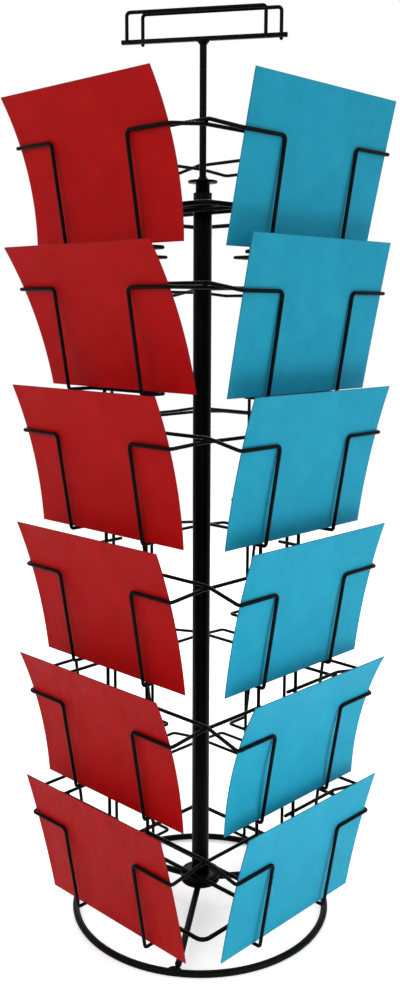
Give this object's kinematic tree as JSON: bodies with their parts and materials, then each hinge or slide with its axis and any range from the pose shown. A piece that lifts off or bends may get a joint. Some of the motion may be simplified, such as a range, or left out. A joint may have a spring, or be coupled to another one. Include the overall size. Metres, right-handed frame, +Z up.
{
  "type": "rotating postcard rack",
  "caption": "Counter-top wire card spinner: square rack of bent-wire pockets on a turning pole, with a round floor ring, a sign holder on top and plain cards on two faces.",
  "frame": {"origin": "on the floor, in the middle of the footprint of rack and cards", "axes": "+Z up along the pole; -Y out of the face with red cards, +X out of the face with blue cards"},
  "size_m": [0.2778, 0.2805, 0.8271],
  "materials": {
    "black_wire": "satin black powder coat",
    "bright_steel": "drawn steel",
    "nylon": "moulded black nylon",
    "red_card": "plain red card, slight sheen",
    "blue_card": "plain blue card, slight sheen"
  },
  "bodies": {
    "base": {"base_ring": "black_wire", "base_spider": "black_wire", "spindle": "bright_steel"},
    "rack": {"pole_tube": "black_wire", "lower_bush": "nylon", "pivot_cap": "nylon", "lower_ring": "black_wire", "upper_ring": "black_wire", "lower_spider": "black_wire", "upper_spider": "black_wire", "upright_front_left": "black_wire", "upright_front_right": "black_wire", "upright_right_left": "black_wire", "upright_right_right": "black_wire", "upright_back_left": "black_wire", "upright_back_right": "black_wire", "upright_left_left": "black_wire", "upright_left_right": "black_wire", "pocket_front_1": "black_wire", "pocket_front_2": "black_wire", "pocket_front_3": "black_wire", "pocket_front_4": "black_wire", "pocket_front_5": "black_wire", "pocket_front_6": "black_wire", "pocket_right_1": "black_wire", "pocket_right_2": "black_wire", "pocket_right_3": "black_wire", "pocket_right_4": "black_wire", "pocket_right_5": "black_wire", "pocket_right_6": "black_wire", "pocket_back_1": "black_wire", "pocket_back_2": "black_wire", "pocket_back_3": "black_wire", "pocket_back_4": "black_wire", "pocket_back_5": "black_wire", "pocket_back_6": "black_wire", "pocket_left_1": "black_wire", "pocket_left_2": "black_wire", "pocket_left_3": "black_wire", "pocket_left_4": "black_wire", "pocket_left_5": "black_wire", "pocket_left_6": "black_wire"},
    "sign": {"sign_post": "black_wire", "sign_bar": "black_wire", "hoop_front": "black_wire", "hoop_back": "black_wire"},
    "card_front_1": {"card_front_1": "red_card"},
    "card_front_2": {"card_front_2": "red_card"},
    "card_front_3": {"card_front_3": "red_card"},
    "card_front_4": {"card_front_4": "red_card"},
    "card_front_5": {"card_front_5": "red_card"},
    "card_front_6": {"card_front_6": "red_card"},
    "card_right_1": {"card_right_1": "blue_card"},
    "card_right_2": {"card_right_2": "blue_card"},
    "card_right_3": {"card_right_3": "blue_card"},
    "card_right_4": {"card_right_4": "blue_card"},
    "card_right_5": {"card_right_5": "blue_card"},
    "card_right_6": {"card_right_6": "blue_card"}
  },
  "joints": [
    {"name": "rack_turn", "type": "hinge", "parent": "base", "child": "rack", "pos_m": [-0.00684, 0.00821, 0.0273], "axis": [0, 0, 1], "continuous": true},
    {"name": "sign_turn", "type": "hinge", "parent": "rack", "child": "sign", "pos_m": [-0.00684, 0.00821, 0.675], "axis": [0, 0, 1], "continuous": true},
    {"name": "card_front_1_lift", "type": "slide", "parent": "rack", "child": "card_front_1", "axis": [0, -0.165, 0.9863], "range_m": [0, 0.09]},
    {"name": "card_front_2_lift", "type": "slide", "parent": "rack", "child": "card_front_2", "axis": [0, -0.165, 0.9863], "range_m": [0, 0.09]},
    {"name": "card_front_3_lift", "type": "slide", "parent": "rack", "child": "card_front_3", "axis": [0, -0.165, 0.9863], "range_m": [0, 0.09]},
    {"name": "card_front_4_lift", "type": "slide", "parent": "rack", "child": "card_front_4", "axis": [0, -0.165, 0.9863], "range_m": [0, 0.09]},
    {"name": "card_front_5_lift", "type": "slide", "parent": "rack", "child": "card_front_5", "axis": [0, -0.165, 0.9863], "range_m": [0, 0.09]},
    {"name": "card_front_6_lift", "type": "slide", "parent": "rack", "child": "card_front_6", "axis": [0, -0.165, 0.9863], "range_m": [0, 0.09]},
    {"name": "card_right_1_lift", "type": "slide", "parent": "rack", "child": "card_right_1", "axis": [0.165, 0, 0.9863], "range_m": [0, 0.09]},
    {"name": "card_right_2_lift", "type": "slide", "parent": "rack", "child": "card_right_2", "axis": [0.165, 0, 0.9863], "range_m": [0, 0.09]},
    {"name": "card_right_3_lift", "type": "slide", "parent": "rack", "child": "card_right_3", "axis": [0.165, 0, 0.9863], "range_m": [0, 0.09]},
    {"name": "card_right_4_lift", "type": "slide", "parent": "rack", "child": "card_right_4", "axis": [0.165, 0, 0.9863], "range_m": [0, 0.09]},
    {"name": "card_right_5_lift", "type": "slide", "parent": "rack", "child": "card_right_5", "axis": [0.165, 0, 0.9863], "range_m": [0, 0.09]},
    {"name": "card_right_6_lift", "type": "slide", "parent": "rack", "child": "card_right_6", "axis": [0.165, 0, 0.9863], "range_m": [0, 0.09]}
  ]
}
